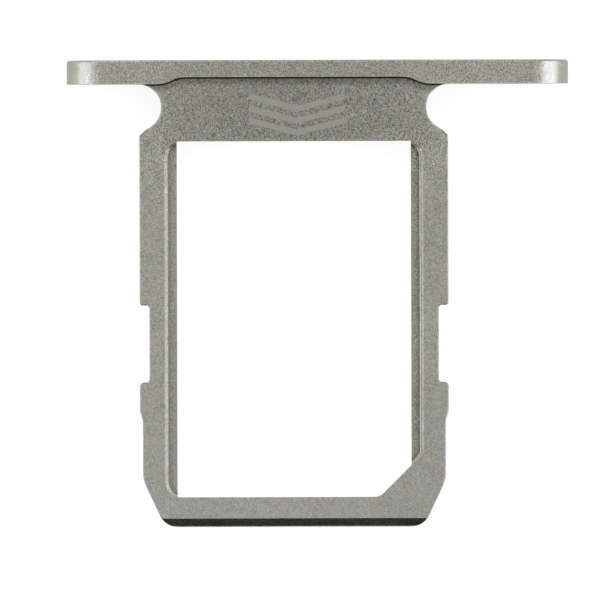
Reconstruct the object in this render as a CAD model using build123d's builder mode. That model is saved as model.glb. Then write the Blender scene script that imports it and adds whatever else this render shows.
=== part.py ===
from build123d import *
import os
from math import cos, radians, sin, sqrt, tan

# Card tray of a phone, milled in one piece: a bar that closes the slot in the phone's side,
# and behind it a flat frame whose pocket carries one small card.
# Millimetres. X runs along the bar, +Y points out of the phone, +Z is the side that takes the card.
# The origin is the middle of the tray in plan, level with the underside of the bar.

# The card, and the play that it has in its pocket
card_length = 12.30
card_width = 8.80
card_thickness = 0.67
card_corner = 1.65
end_play = 0.12
side_play = 0.025
corner_play = 0.19
depth_play = 0.03

# Pocket and window
ledge_width = 0.30
ledge_thickness = 0.30
pocket_radius = 0.58
pocket_cut_radius = 0.42
window_radius = 0.045
lead_in = 0.13
lead_in_at_cut = 0.075

# Frame round the pocket
rail_width = 1.01
root_band = 2.01
nose_band = 1.04
edge_break = 0.04

# Bar, and how far it reaches past the frame at each end
bar_depth = 0.84
bar_height = 2.40
left_reach = 2.56
right_reach = 4.235
bar_edge_radius = 0.09

# Hole for the eject pin, near the right end of the bar
pin_hole_radius = 0.45
pin_hole_inset = 2.10
pin_mouth = 0.06

# Step from the bar down to the frame: the bar is relieved along the middle of its upper rear edge
relief_depth = 0.245
relief_flat = 7.64
relief_run = 0.99
foot_radius = 0.075

# Neck between the bar and the frame's shoulders
neck_radius = 0.815
neck_outset = 0.045
shoulder_slope = 33.5
shoulder_chamfer = 0.18

# Sides of the frame, from the nose forwards
nose_taper_length = 1.66
nose_taper_angle = 25.3
nose_corner_radius = 0.70
nose_side_radius = 1.20
nose_bevel = 0.30
nose_side = 2.08
ramp_length = 0.35
ramp_inset = 0.10
ramp_radius = 0.30
catch_tooth = 1.00
catch_notch_length = 2.71
catch_notch_depth = 0.34
notch_floor_radius = 0.11
notch_front_radius = 0.10
notch_back_radius = 0.15

# Sizes that follow from these
pocket_length = card_length + 2 * end_play
pocket_half = card_width / 2 + side_play
pocket_depth = card_thickness + depth_play
pocket_cut = card_corner + end_play + side_play - corner_play * sqrt(2)
window_half = pocket_half - ledge_width
frame_half = pocket_half + rail_width
frame_thickness = pocket_depth + ledge_thickness
frame_bottom = (bar_height - frame_thickness) / 2
frame_top = frame_bottom + frame_thickness
bar_length = 2 * frame_half + left_reach + right_reach
tray_length = bar_depth + root_band + pocket_length + nose_band

# Plan of the tray: x from the frame's centre line, y from the bar's front face
front_y = tray_length / 2
plan = Plane(origin=((left_reach - right_reach) / 2, front_y, 0))
rear_y = -bar_depth
pocket_front_y = rear_y - root_band
pocket_back_y = pocket_front_y - pocket_length
nose_y = -tray_length

# Neck: a quarter round off the bar, then a slope and a small chamfer out to the frame's side
neck_x = frame_half + neck_outset
neck_y = rear_y - neck_radius
slope_x = neck_x - neck_radius * sin(radians(shoulder_slope))
slope_y = neck_y - neck_radius * cos(radians(shoulder_slope))
shoulder_x = frame_half - shoulder_chamfer
shoulder_y = slope_y - (shoulder_x - slope_x) * tan(radians(shoulder_slope))
side_y = shoulder_y - shoulder_chamfer

# Stations along the frame's side
taper_y = nose_y + nose_taper_length
ramp_back_y = taper_y + nose_side
ramp_front_y = ramp_back_y + ramp_length
notch_back_y = ramp_front_y + catch_tooth
notch_front_y = notch_back_y + catch_notch_length
notch_floor_x = frame_half - catch_notch_depth
nose_side_x = frame_half - ramp_inset
nose_corner_x = nose_side_x - nose_taper_length * tan(radians(nose_taper_angle))


def card_outline(plane, half_width, corner_radius, cut_radius, cut_reach):
    """Outline of the card's seat at a given half width, its cut corner moved out by the reach."""
    cut_x = pocket_half - pocket_cut + cut_reach * sqrt(2)
    cut_y = pocket_back_y + half_width - cut_x
    with BuildSketch(plane) as outline:
        with BuildLine():
            FilletPolyline(
                (half_width, pocket_front_y),
                (-half_width, pocket_front_y),
                (-half_width, pocket_back_y),
                (cut_x, pocket_back_y),
                (half_width, cut_y),
                radius=[corner_radius, corner_radius, corner_radius, pocket_cut_radius, cut_radius],
                close=True,
            )
        make_face()
    return outline.sketch


# What is milled away above the frame, up to the relieved rear edge of the bar
with BuildPart() as upper_clearing:
    with BuildSketch(plan.offset(frame_top)):
        with BuildLine():
            relief_y = rear_y + relief_depth
            relief_x = relief_flat / 2
            run_middle = (relief_x + relief_run / 2, rear_y + relief_depth / 2)
            run_end = (relief_x + relief_run, rear_y)
            Line((0, relief_y), (relief_x, relief_y))
            TangentArc((relief_x, relief_y), run_middle, tangent=(1, 0))
            TangentArc(run_end, run_middle, tangent=(-1, 0))
            Polyline(run_end, (bar_length, rear_y), (bar_length, 2 * nose_y), (0, 2 * nose_y))
            mirror(about=Plane.YZ)
        make_face()
    extrude(amount=bar_height)
    foot = upper_clearing.faces().sort_by(Axis.Z)[0].edges()
    fillet(foot.filter_by_position(Axis.Y, front_y + rear_y - foot_radius, front_y), foot_radius)

# What is milled away below the frame, straight along the rear of the bar
with BuildPart() as lower_clearing:
    with BuildSketch(plan.offset(frame_bottom)):
        with Locations((0, rear_y)):
            Rectangle(2 * bar_length, 2 * tray_length, align=(Align.CENTER, Align.MAX))
    extrude(amount=-bar_height)
    fillet(lower_clearing.faces().sort_by(Axis.Z)[-1].edges().sort_by(Axis.Y)[-1], foot_radius)

with BuildPart() as sim_tray:
    # Bar with round ends
    with BuildSketch(Plane.XZ.offset(-front_y)):
        with Locations((0, bar_height / 2)):
            SlotOverall(bar_length, bar_height)
    extrude(amount=bar_depth)

    # Frame behind the bar, milled to its thickness from both sides
    with BuildSketch(plan):
        with BuildLine():
            root_y = rear_y / 2
            Polyline((0, root_y), (neck_x, root_y), (neck_x, rear_y))
            ThreePointArc((neck_x, rear_y), (neck_x - neck_radius, neck_y), (slope_x, slope_y))
            FilletPolyline(
                (slope_x, slope_y),
                (shoulder_x, shoulder_y),
                (frame_half, side_y),
                (frame_half, notch_front_y),
                (notch_floor_x, notch_front_y),
                (notch_floor_x, notch_back_y),
                (frame_half, notch_back_y),
                (frame_half, ramp_front_y),
                (nose_side_x, ramp_back_y),
                (nose_side_x, taper_y),
                (nose_corner_x, nose_y),
                (0, nose_y),
                radius=[
                    0,
                    0,
                    notch_front_radius,
                    notch_floor_radius,
                    notch_floor_radius,
                    notch_back_radius,
                    ramp_radius,
                    ramp_radius,
                    nose_side_radius,
                    nose_corner_radius,
                ],
            )
            mirror(about=Plane.YZ)
        make_face()
    extrude(amount=bar_height)
    add(upper_clearing.part, mode=Mode.SUBTRACT)
    add(lower_clearing.part, mode=Mode.SUBTRACT)

    # Broken edges along the sides and the nose
    flats = sim_tray.faces().filter_by(Axis.Z).group_by(Axis.Z)
    rims = flats[1].edges() + flats[2].edges()
    chamfer(rims.filter_by_position(Axis.Y, -tray_length, front_y + shoulder_y), edge_break)

    # Window, and the pocket that leaves a ledge along each side of it
    window = card_outline(plan, window_half, window_radius, 0, lead_in_at_cut)
    extrude(window, amount=bar_height, mode=Mode.SUBTRACT)
    seat_top = plan.offset(frame_top)
    seat = card_outline(seat_top, pocket_half, pocket_radius, pocket_cut_radius, 0)
    extrude(seat, amount=-pocket_depth, mode=Mode.SUBTRACT)

    # Sloped lead-in along the pocket's side walls and its cut corner, running out at the ends
    lead_in_half = pocket_half + lead_in
    lead_in_foot = plan.offset(frame_top - lead_in)
    mouth = [
        card_outline(lead_in_foot, pocket_half, pocket_radius, pocket_cut_radius, 0),
        card_outline(seat_top, lead_in_half, pocket_radius, pocket_cut_radius, lead_in_at_cut),
    ]
    loft(mouth, ruled=True, mode=Mode.SUBTRACT)

    # Bevel across the top of the nose
    with BuildSketch(Plane.YZ):
        with BuildLine():
            Polyline(
                (-front_y, frame_top - nose_bevel),
                (-front_y + nose_bevel, frame_top),
                (-front_y, frame_top),
                close=True,
            )
        make_face()
    extrude(amount=bar_length, both=True, mode=Mode.SUBTRACT)

    # Hole for the eject pin, and the soft front edge of the bar
    with Locations(Plane.XZ.offset(-front_y)):
        with Locations((bar_length / 2 - pin_hole_inset, bar_height / 2)):
            Hole(pin_hole_radius)
    bar_front = sim_tray.faces().sort_by(Axis.Y)[-1]
    fillet(bar_front.outer_wire().edges(), bar_edge_radius)
    chamfer(sim_tray.faces().sort_by(Axis.Y)[-1].inner_wires().edges(), pin_mouth)

sim_tray.part.label = "sim_tray"

os.makedirs("parts", exist_ok=True)
export_step(sim_tray.part, "parts/sim_tray.step")
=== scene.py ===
from collections import namedtuple
from functools import partial, reduce
from math import atan2, cos, pi, radians, sin
from types import SimpleNamespace

import bpy
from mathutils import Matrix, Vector


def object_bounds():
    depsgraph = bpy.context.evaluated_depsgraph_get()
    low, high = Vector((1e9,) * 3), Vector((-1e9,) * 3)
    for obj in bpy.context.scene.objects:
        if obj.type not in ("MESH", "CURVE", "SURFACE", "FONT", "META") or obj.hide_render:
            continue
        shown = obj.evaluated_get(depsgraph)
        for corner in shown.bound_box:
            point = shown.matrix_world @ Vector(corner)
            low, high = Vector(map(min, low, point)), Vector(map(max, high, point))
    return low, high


# A phone's card tray, milled from one piece of aluminium, blasted and anodised, seen from straight above.
# Metres throughout: X runs along the bar, +Y points out of the phone, +Z is the side that takes the card.
MM = 0.001

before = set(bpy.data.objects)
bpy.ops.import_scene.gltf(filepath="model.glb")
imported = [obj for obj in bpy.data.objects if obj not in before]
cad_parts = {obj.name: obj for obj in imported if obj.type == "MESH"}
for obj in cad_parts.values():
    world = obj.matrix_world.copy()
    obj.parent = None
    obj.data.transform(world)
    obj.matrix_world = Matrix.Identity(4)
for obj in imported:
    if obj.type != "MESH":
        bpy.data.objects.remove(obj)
cad_low, cad_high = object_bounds()
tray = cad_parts["sim_tray"]

# A fade changes smoothly from its first value, at the start, to its last, at the end, and holds beyond them
Fade = namedtuple("Fade", "start end first last", defaults=(0.0, 1.0))

# Levels of the tray, as it was milled
BAR_REAR_Y = cad_high.y - 0.84 * MM
BAR_TOP_Z = cad_high.z
FRAME_BOTTOM_Z = 0.70 * MM
FRAME_TOP_Z = 1.70 * MM
FRAME_CENTRE_X = -0.8375 * MM
NOSE_EDGE_Y = cad_low.y + 0.04 * MM
NOSE_BEVEL_Y = cad_low.y + 0.30 * MM
NOSE_BEVEL_Z = FRAME_TOP_Z - 0.30 * MM
NECK_HALF = 5.48 * MM
NECK_RADIUS = 0.815 * MM
SHOULDER_SLOPE = radians(33.5)
RELIEF_HALF = 3.82 * MM
RELIEF_RUN = 0.99 * MM
RELIEF_DEPTH = 0.245 * MM
RELIEF = Fade(RELIEF_HALF, RELIEF_HALF + RELIEF_RUN, RELIEF_DEPTH, 0.0)
POCKET_FRONT_Y = BAR_REAR_Y - 2.01 * MM
POCKET_BACK_Y = POCKET_FRONT_Y - 12.54 * MM
POCKET_MIDDLE_Y = (POCKET_FRONT_Y + POCKET_BACK_Y) / 2
POCKET_HALF_LENGTH = (POCKET_FRONT_Y - POCKET_BACK_Y) / 2
WINDOW_HALF = 4.125 * MM
LEAD_IN_HALF = 4.555 * MM
LEAD_IN_FOOT_Z = FRAME_TOP_Z - 0.13 * MM
LEDGE_Z = 1.00 * MM
NOTCH_CENTRE_Y = -1.77 * MM

# Photograph: 600 pixels across, seen from far above
PHOTO_WIDTH = 21.127 * MM
PHOTO_CENTRE = Vector((-0.6305 * MM, -0.232 * MM, 1.45 * MM))
PHOTO_TURN = -0.0026
LENS = 1200.0
SENSOR = 36.0
CAMERA_REACH = 3.0

# Places that the finish tells apart; a band is how far above or below a level still belongs to it
BAR_START_Y = BAR_REAR_Y - 0.002 * MM
BAR_UPPER = Fade(1.90 * MM, 2.10 * MM)
RELIEF_FOOT_Z = FRAME_TOP_Z - 0.05 * MM
LEDGE_MIDDLE_Z = LEDGE_Z + 0.05 * MM
LEDGE_BAND = 0.055 * MM
NOSE_RIM_BAND = 0.030 * MM

# Tones: warm grey anodising between the dark of its pits and the light of its glints
PIT_TONE = (0.102, 0.0995, 0.086, 1.0)
GLINT_TONE = (0.573, 0.571, 0.525, 1.0)
MIDDLE_TONE = 0.5
ETCHED_TONE = (0.345, 0.342, 0.320, 1.0)
SHADE_TONE = (0.010, 0.010, 0.008, 1.0)
# Cooler towards the nose, and painted a little lighter there
NOSE_TINT = (1.020, 1.024, 1.062, 1.0)
BAR_TINT = (1.000, 0.991, 0.968, 1.0)
# Painted reflection: the bar's outer ends a little lighter and warmer
END_REFLECTION_TINT = (1.050, 1.052, 0.980, 1.0)
WARM_TINT = (1.000, 0.998, 0.955, 1.0)
COOL_TINT = (1.000, 1.002, 1.045, 1.0)
NO_TINT = (1.0, 1.0, 1.0, 1.0)

# Grain: blasted dimples and the ridges between them, drawn out along Y, with larger specks and faint clouds
BLAST_SIZE = 0.028 * MM
BLAST_STRETCH = Vector((1.12, 0.80, 1.00))
RIDGE_SIZE = 1.5 * BLAST_SIZE
SPECK_SIZE = 0.055 * MM
CLOUD_SIZE = 0.90 * MM
NOISE_MIDDLE = 0.5
DIMPLE_SHARE = 0.67
RIDGE_SHARE = 1.05
CLOUD_SHARE = 0.10
PITS = Fade(0.960, 0.980, 0.0, 0.60)
BAR_PITS = -0.7
GLINTS = Fade(0.955, 0.975)
GLINT_SHARE = 0.20
BAR_GLINTS = 0.25

# Strength of the grain over the tray, and what the bar, the ledges and the etching add to it
ROOT_GRAIN = Fade(3.0 * MM, 5.6 * MM, 0.52, 1.0)
NOSE_GRAIN = Fade(-7.0 * MM, 0.0, 0.80, 1.0)
END_GRAIN = Fade(7.60 * MM, 8.50 * MM, 1.0, 0.25)
NECK_GRAIN = Fade(0.05 * MM, 0.30 * MM, 0.50, 1.0)
BEVEL_GRAIN = Fade(NOSE_BEVEL_Y - 0.02 * MM, NOSE_BEVEL_Y, 0.5, 0.0)
BAR_GRAIN = -0.20
LEDGE_GRAIN = 0.3
LEFT_LEDGE_GRAIN = -0.4
ETCHED_GRAIN = -0.45

# Colour: faint patches everywhere, and where the tints of the nose, the bar and its ends lie; the ends'
# tint is a painted warm reflection, and the nose's tint is also painted a little lighter
HUE_SIZE = 0.35 * MM
HUE_SHARE = 0.055
PATCH_SIZE = 0.20 * MM
PATCH_COLOUR = Fade(0.30, 0.70)
NOSE_COLOUR = Fade(-8.0 * MM, -3.0 * MM)
BAR_COLOUR = Fade(7.60 * MM, 7.95 * MM, 1.0, 0.0)
END_REFLECTION_FADE = Fade(8.32 * MM, 8.42 * MM)

# Large shades: darkest at the root of the frame, lighter along the bar, a little darker on the right
ROOT_CENTRE = Vector((-1.12 * MM, 6.40 * MM, 0.0))
ROOT_REACH = Vector((7.60 * MM, 2.50 * MM, 9.00 * MM))
ROOT_SHADE = Fade(0.30, 1.0, 0.725, 1.0)
BAR_SHADE = Fade(RELIEF_HALF - 0.4 * MM, RELIEF_HALF + 0.6 * MM, 0.87, 0.945)
OVERHANG_SHADE = Fade(4.6 * MM, 7.0 * MM, 0.0, 0.075)
RIGHT_SHADE = -0.05
RIGHT_RAIL = Fade(1.4 * MM, 2.6 * MM)
RIGHT_END = Fade(8.20 * MM, 8.40 * MM)
NOTCH_CLEAR = Fade(0.8 * MM, 1.4 * MM)

# Painted shade in the corners, from ambient occlusion, and on the ledges in the pocket, with ragged edges
# on the ledges
CORNER_REACH = 0.30 * MM
CORNER_SAMPLES = 8
CORNER_SHADE = Fade(0.50, 0.90, 0.60, 1.0)
LEFT_LEDGE_SHADE = 0.20
LEDGE_SHADE_JITTER = 1.2
LEDGE_FRONT = Fade(POCKET_FRONT_Y - 0.32 * MM, POCKET_FRONT_Y - 0.20 * MM, 1.0, 0.72)

# Foot of the bar: a dark line in its round and a darker strip behind it
FOOT_LINE = Fade(0.058 * MM, 0.074 * MM, 0.11, 0.70)
FOOT_STRIP = Fade(0.190 * MM, 0.340 * MM, 0.0, 0.30)
FOOT_START = -0.005 * MM
FOOT_BAND = 0.040 * MM

# Lead-ins: painted highlights, two lines on the right with a darker strip between and a faint one on the
# left above a painted dark line at its foot, painted highlights round the bends, and painted dark
# reflections at the front ends
INNER_LINE = Fade(LEAD_IN_FOOT_Z + 0.024 * MM, LEAD_IN_FOOT_Z + 0.034 * MM, 0.75, -0.30)
OUTER_LINE = Fade(LEAD_IN_FOOT_Z + 0.062 * MM, LEAD_IN_FOOT_Z + 0.072 * MM, 0.0, 0.52)
LEFT_FACE = Fade(LEAD_IN_FOOT_Z + 0.012 * MM, LEAD_IN_FOOT_Z + 0.026 * MM, -0.45, 0.09)
BENDS = Fade(POCKET_HALF_LENGTH - 0.55 * MM, POCKET_HALF_LENGTH - 0.25 * MM, 0.0, 0.35)
BACK_BENDS = Fade(POCKET_BACK_Y + 0.05 * MM, POCKET_BACK_Y + 0.30 * MM, 0.3, 1.0)
FRONT_ENDS = Fade(POCKET_FRONT_Y - 0.30 * MM, POCKET_FRONT_Y - 0.18 * MM, 0.0, -0.95)
LEAD_IN_MIDDLE = (WINDOW_HALF + LEAD_IN_HALF) / 2
LEAD_IN_SPREAD = (LEAD_IN_HALF - WINDOW_HALF) / 2
LEAD_IN_MIDDLE_Z = (LEAD_IN_FOOT_Z + FRAME_TOP_Z) / 2
LEAD_IN_BAND = 0.064 * MM

# Lighter edges: painted highlights along the bar's upper rear edge, its left end and the nose's rim, and
# lighter rims at the necks
REAR_EDGE = Fade(-0.045 * MM, -0.020 * MM, 0.0, 0.20)
REAR_EDGE_Z = BAR_TOP_Z - 0.05 * MM
LEFT_END_START = Fade(-7.93 * MM, -7.84 * MM)
LEFT_END = Fade(-7.80 * MM, -7.48 * MM, 0.10, 0.0)
NOSE_RIM_HIGHLIGHT = 0.6
NECK_RIM = Fade(0.0, 0.09 * MM, 0.45, 0.0)
NECK_SLOPE = Fade(0.05 * MM, 0.40 * MM, 0.10, 0.0)
NECK_BAND = 0.045 * MM

# Sheen of the anodising
SHEEN_TINT = (0.82, 0.82, 0.82, 1.0)
SHEEN_ROUGHNESS = Fade(0.0, 1.0, 0.28, 0.38)
NOSE_RIM_ROUGHNESS = 0.5
RIDGE_STRENGTH = 0.40
RIDGE_HEIGHT = 0.010 * MM

# Insertion chevrons, etched one behind the other on the band behind the bar
CHEVRON_COUNT = 3
CHEVRON_PITCH = 0.42 * MM
CHEVRON_WIDTH = 3.40 * MM
CHEVRON_SLOPE = 0.26
CHEVRON_STROKE = 0.20 * MM
CHEVRON_SOFT = 0.02 * MM
CHEVRON_BAND = 0.01 * MM
CHEVRON_CENTRE = Vector((-0.72 * MM, 6.30 * MM, FRAME_TOP_Z))
CHEVRON_RAISE = CHEVRON_WIDTH / 4 * CHEVRON_SLOPE
CHEVRON_STACK = CHEVRON_COUNT * CHEVRON_PITCH / 2
CHEVRON_HALF = CHEVRON_STROKE / 2 / cos(atan2(CHEVRON_SLOPE, 1.0))
CHEVRON_EDGE = Fade(CHEVRON_HALF - CHEVRON_SOFT, CHEVRON_HALF + CHEVRON_SOFT, 1.0, 0.0)
CHEVRON_ENDS = Fade(CHEVRON_WIDTH / 2 - CHEVRON_SOFT, CHEVRON_WIDTH / 2, 1.0, 0.0)
ETCHED_SHARE = 0.75

# White table, and the black card beyond the nose
TABLE_TONE = (0.22, 0.22, 0.22, 1.0)
TABLE_GLOW = 0.84
TABLE_SIZE = 2.4
TABLE_GAP = 0.002 * MM
CARD_TONE = (0.036, 0.038, 0.021, 1.0)
CARD_SIZE = Vector((14 * MM, 1.8 * MM, 1.0))
CARD_PLACE = Vector((FRAME_CENTRE_X, cad_low.y - 1.3 * MM, 1.6 * MM))

# Studio: softboxes that lean from straight above, and surroundings that dim overhead and beyond the nose
Softbox = namedtuple("Softbox", "name heading lean distance size radiance")
SOFTBOXES = (
    Softbox("left_softbox", radians(180), radians(53.5), 0.4, (0.35, 0.38), 1.6),
    Softbox("right_softbox", radians(0), radians(55), 0.4, (0.35, 0.425), 2.1),
    Softbox("front_softbox", radians(90), radians(60), 0.5, (0.5, 0.30), 0.4),
)
SOFTBOX_COLOUR = (0.945, 0.957, 1.045)
WALL_LIGHT = (1.05, 1.05, 1.06, 1.0)
OVERHEAD_LIGHT = (0.86, 0.85, 0.80, 1.0)
OVERHEAD = Fade(0.30, 0.97)
BEYOND_NOSE = Fade(-0.80, -0.05, 0.55, 1.00)


class Nodes:
    """The nodes of a material or of the world."""

    def __init__(self, owner):
        owner.use_nodes = True
        self.owner = owner
        self.nodes = owner.node_tree.nodes
        self.links = owner.node_tree.links
        self.nodes.clear()

    def node(self, kind, **inputs):
        """A new node, each named input set to a number or joined to another node's output."""
        made = self.nodes.new(kind)
        for name, value in inputs.items():
            self.feed(made.inputs[name.replace("_", " ")], value)
        return made

    def feed(self, socket, value):
        """A number goes on the socket itself, an output is linked to it."""
        if isinstance(value, bpy.types.NodeSocket):
            self.links.new(value, socket)
        else:
            socket.default_value = value

    def math(self, operation, *values):
        """Output of one Math node."""
        made = self.nodes.new("ShaderNodeMath")
        made.operation = operation
        for socket, value in zip(made.inputs, values):
            self.feed(socket, value)
        return made.outputs[0]

    def times(self, *values):
        """Product of several values."""
        return reduce(partial(self.math, "MULTIPLY"), values)

    def plus(self, *values):
        """Sum of several values."""
        return reduce(partial(self.math, "ADD"), values)

    def with_share(self, base, value, share):
        """The base, and a share of another value on top of it."""
        return self.math("MULTIPLY_ADD", value, share, base)

    def choose(self, mask, inside, outside):
        """One value where the mask is 1, and another where it is 0."""
        return self.math("MULTIPLY_ADD", mask, self.math("SUBTRACT", inside, outside), outside)

    def centred(self, noise):
        """A noise that is as often below zero as above it."""
        return self.math("SUBTRACT", noise, NOISE_MIDDLE)

    def fade(self, value, fade):
        """What a fade comes to at a value."""
        made = self.nodes.new("ShaderNodeMapRange")
        made.interpolation_type = "SMOOTHSTEP"
        for name, number in zip(("From Min", "From Max", "To Min", "To Max"), fade):
            self.feed(made.inputs[name], number)
        self.feed(made.inputs["Value"], value)
        return made.outputs["Result"]

    def blend(self, factor, first, second, kind="MIX"):
        """Output of a colour mix."""
        made = self.nodes.new("ShaderNodeMix")
        made.data_type = "RGBA"
        made.blend_type = kind
        self.feed(made.inputs["Factor"], factor)
        self.feed(made.inputs["A"], first)
        self.feed(made.inputs["B"], second)
        return made.outputs["Result"]

    def noise(self, place, size, detail):
        """Noise whose features are about as large as the size given."""
        made = self.node("ShaderNodeTexNoise", Vector=place, Scale=1.0 / size, Detail=detail)
        return made.outputs["Fac"]

    def surface(self, shader):
        """The material, once a shader is joined to its surface."""
        self.node("ShaderNodeOutputMaterial", Surface=shader.outputs[0])
        return self.owner


def neck_distance(finish, aside, y):
    """How far a point lies in from the edge of the neck's round and the shoulder's slope."""
    across = finish.math("SUBTRACT", aside, NECK_HALF)
    along = finish.math("SUBTRACT", y, BAR_REAR_Y - NECK_RADIUS)
    rise, run = sin(SHOULDER_SLOPE), cos(SHOULDER_SLOPE)
    down = finish.with_share(finish.times(across, run), along, -rise)
    inward = finish.with_share(finish.times(across, rise), along, run)
    down = finish.math("MINIMUM", down, 0.0)
    square = finish.with_share(finish.times(down, down), inward, inward)
    return finish.math("SUBTRACT", finish.math("SQRT", square), NECK_RADIUS)


def chevron_mask(finish, x, y, z):
    """1 on the etched chevrons and 0 round them."""
    arm = finish.math("ABSOLUTE", finish.math("SUBTRACT", x, CHEVRON_CENTRE.x))
    rise = finish.with_share(finish.math("SUBTRACT", y, CHEVRON_CENTRE.y), arm, -CHEVRON_SLOPE)
    rise = finish.plus(rise, CHEVRON_RAISE)
    across = finish.math("ABSOLUTE", finish.math("WRAP", rise, CHEVRON_PITCH / 2, -CHEVRON_PITCH / 2))
    return finish.times(
        finish.fade(across, CHEVRON_EDGE),
        finish.fade(arm, CHEVRON_ENDS),
        finish.math("LESS_THAN", finish.math("ABSOLUTE", rise), CHEVRON_STACK),
        finish.math("COMPARE", z, FRAME_TOP_Z, CHEVRON_BAND),
    )


def tray_places(finish):
    """Where a point lies on the tray: its distances, and masks that are 1 on a place and 0 off it."""
    at = SimpleNamespace(point=finish.node("ShaderNodeTexCoord").outputs["Object"])
    at.x, at.y, at.z = finish.node("ShaderNodeSeparateXYZ", Vector=at.point).outputs
    at.outward = finish.math("ABSOLUTE", at.x)
    at.aside = finish.math("ABSOLUTE", finish.math("SUBTRACT", at.x, FRAME_CENTRE_X))
    at.left = finish.math("LESS_THAN", at.x, FRAME_CENTRE_X)
    at.neck = neck_distance(finish, at.aside, at.y)
    at.mark = chevron_mask(finish, at.x, at.y, at.z)

    # The bar's upper rear edge is relieved along its middle
    relief = finish.fade(at.aside, RELIEF)
    at.behind = finish.math("SUBTRACT", finish.plus(relief, BAR_REAR_Y), at.y)
    relieved = finish.times(relief, finish.math("GREATER_THAN", at.z, RELIEF_FOOT_Z))
    at.bar = finish.math("GREATER_THAN", finish.math("SUBTRACT", at.y, relieved), BAR_START_Y)
    at.off_bar = finish.math("SUBTRACT", 1.0, at.bar)

    at.ledge = finish.times(
        finish.math("COMPARE", at.z, LEDGE_MIDDLE_Z, LEDGE_BAND),
        finish.math("LESS_THAN", at.aside, LEAD_IN_HALF),
        finish.math("LESS_THAN", at.y, POCKET_FRONT_Y),
    )
    at.nose_rim = finish.times(
        finish.math("LESS_THAN", at.y, NOSE_BEVEL_Y),
        finish.math("COMPARE", at.z, NOSE_BEVEL_Z, NOSE_RIM_BAND),
    )
    return at


def blasted_grain(finish, at):
    """Noises of the blasting: each dimple and speck has its own brightness, and ridges run between them."""
    drawn = finish.node("ShaderNodeMapping", Vector=at.point, Scale=BLAST_STRETCH).outputs[0]
    dimple = finish.node("ShaderNodeTexVoronoi", Vector=drawn, Scale=1.0 / BLAST_SIZE)
    speck = finish.node("ShaderNodeTexVoronoi", Vector=drawn, Scale=1.0 / SPECK_SIZE)
    grain = SimpleNamespace(ridge=finish.noise(drawn, RIDGE_SIZE, detail=1.0))
    grain.dimple = finish.node("ShaderNodeSeparateColor", Color=dimple.outputs["Color"]).outputs[0]
    grain.glint, grain.pit, _ = finish.node("ShaderNodeSeparateColor", Color=speck.outputs["Color"]).outputs
    return grain


def grain_strength(finish, at):
    """How strongly the grain shows: most at the root of the frame, less by the nose, ends and necks."""
    bevel = finish.times(finish.fade(at.y, BEVEL_GRAIN), finish.math("GREATER_THAN", at.z, NOSE_BEVEL_Z))
    ledge = finish.times(at.ledge, finish.with_share(LEDGE_GRAIN, at.left, LEFT_LEDGE_GRAIN))
    return finish.times(
        finish.fade(at.y, ROOT_GRAIN),
        finish.fade(at.y, NOSE_GRAIN),
        finish.with_share(1.0, at.bar, BAR_GRAIN),
        finish.plus(bevel, 1.0),
        finish.fade(at.outward, END_GRAIN),
        finish.plus(ledge, 1.0),
        finish.math("MAXIMUM", finish.fade(at.neck, NECK_GRAIN), at.bar),
        finish.with_share(1.0, at.mark, ETCHED_GRAIN),
    )


def grained_metal(finish, at, grain):
    """The metal's tone, with dark pits and fewer, brighter glints."""
    strength = grain_strength(finish, at)
    cloud = finish.noise(at.point, CLOUD_SIZE, detail=2.0)
    tone = finish.times(finish.centred(grain.dimple), DIMPLE_SHARE)
    tone = finish.with_share(tone, finish.centred(grain.ridge), RIDGE_SHARE)
    tone = finish.with_share(MIDDLE_TONE, tone, strength)
    tone = finish.with_share(tone, finish.centred(cloud), CLOUD_SHARE)
    metal = finish.blend(tone, PIT_TONE, GLINT_TONE)
    pits = finish.times(finish.fade(grain.pit, PITS), strength, finish.with_share(1.0, at.bar, BAR_PITS))
    metal = finish.blend(pits, metal, PIT_TONE)
    glints = finish.with_share(GLINT_SHARE, at.bar, BAR_GLINTS)
    return finish.blend(finish.times(finish.fade(grain.glint, GLINTS), glints), metal, GLINT_TONE)


def coloured(finish, at, metal):
    """The metal in faint patches of colour, warmer on the bar and the ledges, cooler and painted a little
    lighter towards the nose, and with a lighter, warmer painted reflection on the bar's outer ends.
    """
    hue = finish.node("ShaderNodeTexNoise", Vector=at.point, Scale=1.0 / HUE_SIZE, Detail=0.0)
    metal = finish.blend(HUE_SHARE, metal, hue.outputs["Color"], kind="OVERLAY")
    patch = finish.noise(at.point, PATCH_SIZE, detail=1.0)
    tint = finish.blend(finish.fade(patch, PATCH_COLOUR), WARM_TINT, COOL_TINT)
    metal = finish.blend(1.0, metal, tint, kind="MULTIPLY")
    tint = finish.blend(finish.fade(at.y, NOSE_COLOUR), NOSE_TINT, NO_TINT)
    warm = finish.times(at.bar, finish.fade(at.outward, BAR_COLOUR))
    tint = finish.blend(finish.math("MAXIMUM", warm, at.ledge), tint, BAR_TINT)
    tint = finish.blend(finish.fade(at.outward, END_REFLECTION_FADE), tint, END_REFLECTION_TINT)
    return finish.blend(1.0, metal, tint, kind="MULTIPLY")


def large_shade(finish, at):
    """How light the tray is from place to place, 1 where nothing shades it."""
    reach = finish.node("ShaderNodeMapping", Vector=at.point, Location=ROOT_CENTRE, Scale=ROOT_REACH)
    reach.vector_type = "TEXTURE"
    spread = finish.nodes.new("ShaderNodeVectorMath")
    spread.operation = "LENGTH"
    finish.feed(spread.inputs[0], reach.outputs[0])
    root = finish.fade(spread.outputs["Value"], ROOT_SHADE)
    bar = finish.plus(finish.fade(at.aside, BAR_SHADE), finish.fade(at.aside, OVERHANG_SHADE))
    notch = finish.math("ABSOLUTE", finish.math("SUBTRACT", at.y, NOTCH_CENTRE_Y))
    right = finish.times(finish.fade(at.x, RIGHT_RAIL), at.off_bar, finish.fade(notch, NOTCH_CLEAR))
    right = finish.math("MAXIMUM", right, finish.fade(at.x, RIGHT_END))
    return finish.times(finish.choose(at.bar, bar, root), finish.with_share(1.0, right, RIGHT_SHADE))


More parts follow.
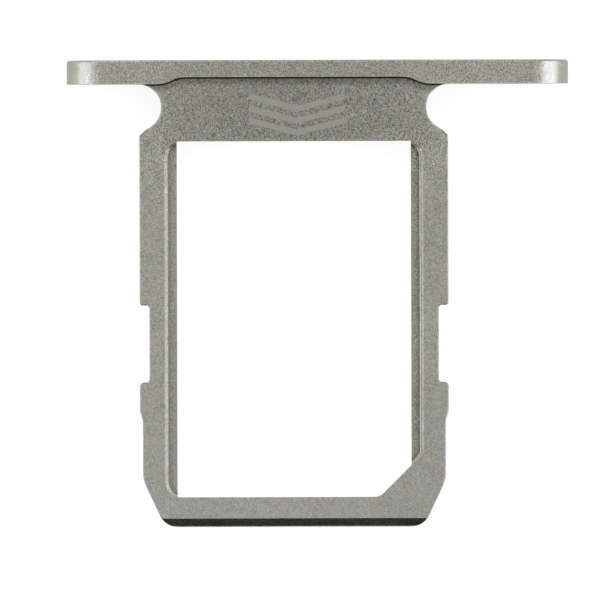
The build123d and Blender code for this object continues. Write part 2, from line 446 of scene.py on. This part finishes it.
def corner_shade(finish, at, ridge):
    """Painted shade in the corners and on the ledges, with ragged edges on the ledges, 1 in the open."""
    corner = finish.node("ShaderNodeAmbientOcclusion", Distance=CORNER_REACH)
    corner.only_local = True
    corner.samples = CORNER_SAMPLES
    shade_jitter = finish.times(finish.centred(ridge), at.ledge)
    opening = finish.with_share(corner.outputs["AO"], shade_jitter, LEDGE_SHADE_JITTER)
    deepest = finish.with_share(CORNER_SHADE.first, finish.times(at.ledge, at.left), LEFT_LEDGE_SHADE)
    front = finish.choose(at.ledge, finish.fade(at.y, LEDGE_FRONT), 1.0)
    return finish.times(finish.fade(opening, CORNER_SHADE._replace(first=deepest)), front)


def foot_shade(finish, at):
    """Dark line in the round foot of the bar and a darker strip behind it, 1 elsewhere."""
    shade = finish.plus(finish.fade(at.behind, FOOT_LINE), finish.fade(at.behind, FOOT_STRIP))
    here = finish.times(
        finish.math("COMPARE", at.z, FRAME_TOP_Z, FOOT_BAND),
        finish.math("GREATER_THAN", at.behind, FOOT_START),
        finish.math("LESS_THAN", at.aside, NECK_HALF),
    )
    return finish.choose(here, shade, 1.0)


def lead_in_painted_light(finish, at):
    """Painted highlights on the lead-ins, with painted shade along the foot of the left one and painted
    dark reflections at their front ends.
    """
    highlight_lines = finish.plus(finish.fade(at.z, INNER_LINE), finish.fade(at.z, OUTER_LINE))
    lines = finish.choose(at.left, finish.fade(at.z, LEFT_FACE), highlight_lines)
    along = finish.math("ABSOLUTE", finish.math("SUBTRACT", at.y, POCKET_MIDDLE_Y))
    bends = finish.times(finish.fade(along, BENDS), finish.fade(at.y, BACK_BENDS))
    return finish.times(
        finish.plus(lines, bends, finish.fade(at.y, FRONT_ENDS)),
        finish.math("COMPARE", at.aside, LEAD_IN_MIDDLE, LEAD_IN_SPREAD),
        finish.math("LESS_THAN", along, POCKET_HALF_LENGTH),
        finish.math("COMPARE", at.z, LEAD_IN_MIDDLE_Z, LEAD_IN_BAND),
    )


def lighter_edges(finish, at):
    """How much lighter the edges are: painted highlights on the bar's upper rear edge, its left end and the
    nose's rim, and lighter rims at the necks.
    """
    rear = finish.times(
        finish.fade(at.behind, REAR_EDGE),
        at.bar,
        finish.math("GREATER_THAN", at.z, REAR_EDGE_Z),
    )
    left_end = finish.times(
        finish.fade(at.x, LEFT_END_START),
        finish.fade(at.x, LEFT_END),
        finish.fade(at.z, BAR_UPPER),
    )
    necks = finish.times(
        finish.plus(finish.fade(at.neck, NECK_RIM), finish.fade(at.neck, NECK_SLOPE)),
        finish.math("COMPARE", at.z, FRAME_TOP_Z, NECK_BAND),
        at.off_bar,
    )
    return finish.plus(rear, left_end, finish.times(at.nose_rim, NOSE_RIM_HIGHLIGHT), necks)


def anodised_aluminium():
    """Bead-blasted, anodised aluminium: a warm grey satin with a fine grain of pits and glints."""
    finish = Nodes(bpy.data.materials.new("anodised_aluminium_blasted"))
    at = tray_places(finish)
    grain = blasted_grain(finish, at)
    metal = coloured(finish, at, grained_metal(finish, at, grain))
    metal = finish.blend(large_shade(finish, at), SHADE_TONE, metal)
    metal = finish.blend(finish.times(at.mark, ETCHED_SHARE), metal, ETCHED_TONE)
    shade = finish.math("MINIMUM", corner_shade(finish, at, grain.ridge), foot_shade(finish, at))
    metal = finish.blend(shade, SHADE_TONE, metal)
    # Painted highlights and shade on the lead-ins, painted highlights on the edges, and lighter rims at the
    # necks
    edge_lightness = finish.plus(lead_in_painted_light(finish, at), lighter_edges(finish, at), 1.0)
    metal = finish.blend(1.0, metal, edge_lightness, kind="MULTIPLY")

    roughness = finish.fade(grain.dimple, SHEEN_ROUGHNESS)
    roughness = finish.with_share(roughness, at.nose_rim, NOSE_RIM_ROUGHNESS)
    bump = finish.node("ShaderNodeBump", Strength=RIDGE_STRENGTH, Distance=RIDGE_HEIGHT, Height=grain.ridge)
    satin = finish.node(
        "ShaderNodeBsdfPrincipled",
        Base_Color=metal,
        Metallic=1.0,
        Specular_Tint=SHEEN_TINT,
        Roughness=roughness,
        Normal=bump.outputs["Normal"],
    )
    return finish.surface(satin)


def table_white():
    """Plain white that keeps a soft shadow and glows only for the camera and for reflections."""
    finish = Nodes(bpy.data.materials.new("white_table"))
    paint = finish.node("ShaderNodeBsdfDiffuse", Color=TABLE_TONE)
    path = finish.node("ShaderNodeLightPath").outputs
    seen = finish.math("MAXIMUM", path["Is Camera Ray"], path["Is Glossy Ray"])
    seen = finish.math("MAXIMUM", seen, path["Is Transmission Ray"])
    glow = finish.node("ShaderNodeEmission", Strength=finish.times(seen, TABLE_GLOW))
    both = finish.nodes.new("ShaderNodeAddShader")
    finish.feed(both.inputs[0], paint.outputs[0])
    finish.feed(both.inputs[1], glow.outputs[0])
    material = finish.surface(both)
    material.cycles.emission_sampling = "NONE"
    return material


def card_black():
    """Plain matt black."""
    finish = Nodes(bpy.data.materials.new("black_card"))
    return finish.surface(finish.node("ShaderNodeBsdfDiffuse", Color=CARD_TONE))


def white_table():
    """Floor that is tipped to lie under the bar and the nose."""
    bpy.ops.mesh.primitive_plane_add(size=TABLE_SIZE)
    floor = bpy.context.object
    floor.name = "table"
    dip = atan2(FRAME_BOTTOM_Z, BAR_REAR_Y - NOSE_EDGE_Y)
    floor.rotation_euler = (-dip, 0, 0)
    floor.location = (0, BAR_REAR_Y, -TABLE_GAP)
    floor.data.materials.append(table_white())


def nose_card():
    """Small upright card beyond the nose, which only the metal's reflections show."""
    bpy.ops.mesh.primitive_plane_add(size=1.0)
    card = bpy.context.object
    card.name = "nose_card"
    card.scale = CARD_SIZE
    card.rotation_euler = (radians(90), 0, 0)
    card.location = CARD_PLACE
    card.data.materials.append(card_black())
    card.visible_camera = False
    card.visible_diffuse = False


def softbox(box):
    """Area lamp at an angle from straight above, with the brightness that a mirror would show."""
    lamp = bpy.data.lights.new(box.name, "AREA")
    lamp.shape = "RECTANGLE"
    lamp.size, lamp.size_y = box.size
    lamp.energy = box.radiance * pi * box.size[0] * box.size[1]
    lamp.color = SOFTBOX_COLOUR
    light = bpy.data.objects.new(box.name, lamp)
    bpy.context.scene.collection.objects.link(light)
    across = sin(box.lean)
    away = Vector((across * cos(box.heading), across * sin(box.heading), cos(box.lean)))
    light.location = away * box.distance
    light.rotation_euler = away.to_track_quat("Z", "Y").to_euler()
    light.visible_camera = False


def studio():
    """White surroundings, dimmer and warmer overhead, dimmer beyond the nose, and three softboxes."""
    world = bpy.data.worlds.new("white_studio")
    bpy.context.scene.world = world
    room = Nodes(world)
    direction = room.node("ShaderNodeTexCoord").outputs["Generated"]
    _, y, z = room.node("ShaderNodeSeparateXYZ", Vector=direction).outputs
    light = room.blend(room.fade(z, OVERHEAD), WALL_LIGHT, OVERHEAD_LIGHT)
    walls = room.node("ShaderNodeBackground", Color=light, Strength=room.fade(y, BEYOND_NOSE))
    room.node("ShaderNodeOutputWorld", Surface=walls.outputs[0])
    for box in SOFTBOXES:
        softbox(box)


def camera_above():
    """Camera far above the tray, in the photograph's frame."""
    data = bpy.data.cameras.new("camera_above")
    data.lens = LENS
    data.sensor_width = SENSOR
    data.clip_end = CAMERA_REACH
    camera = bpy.data.objects.new("camera_above", data)
    bpy.context.scene.collection.objects.link(camera)
    camera.location = PHOTO_CENTRE + Vector((0, 0, PHOTO_WIDTH * LENS / SENSOR))
    camera.rotation_euler = (0, 0, PHOTO_TURN)
    bpy.context.scene.camera = camera


bpy.context.scene.view_settings.view_transform = "Standard"
bpy.ops.object.select_all(action="DESELECT")

tray.data.materials.clear()
tray.data.materials.append(anodised_aluminium())
white_table()
nose_card()
studio()
camera_above()
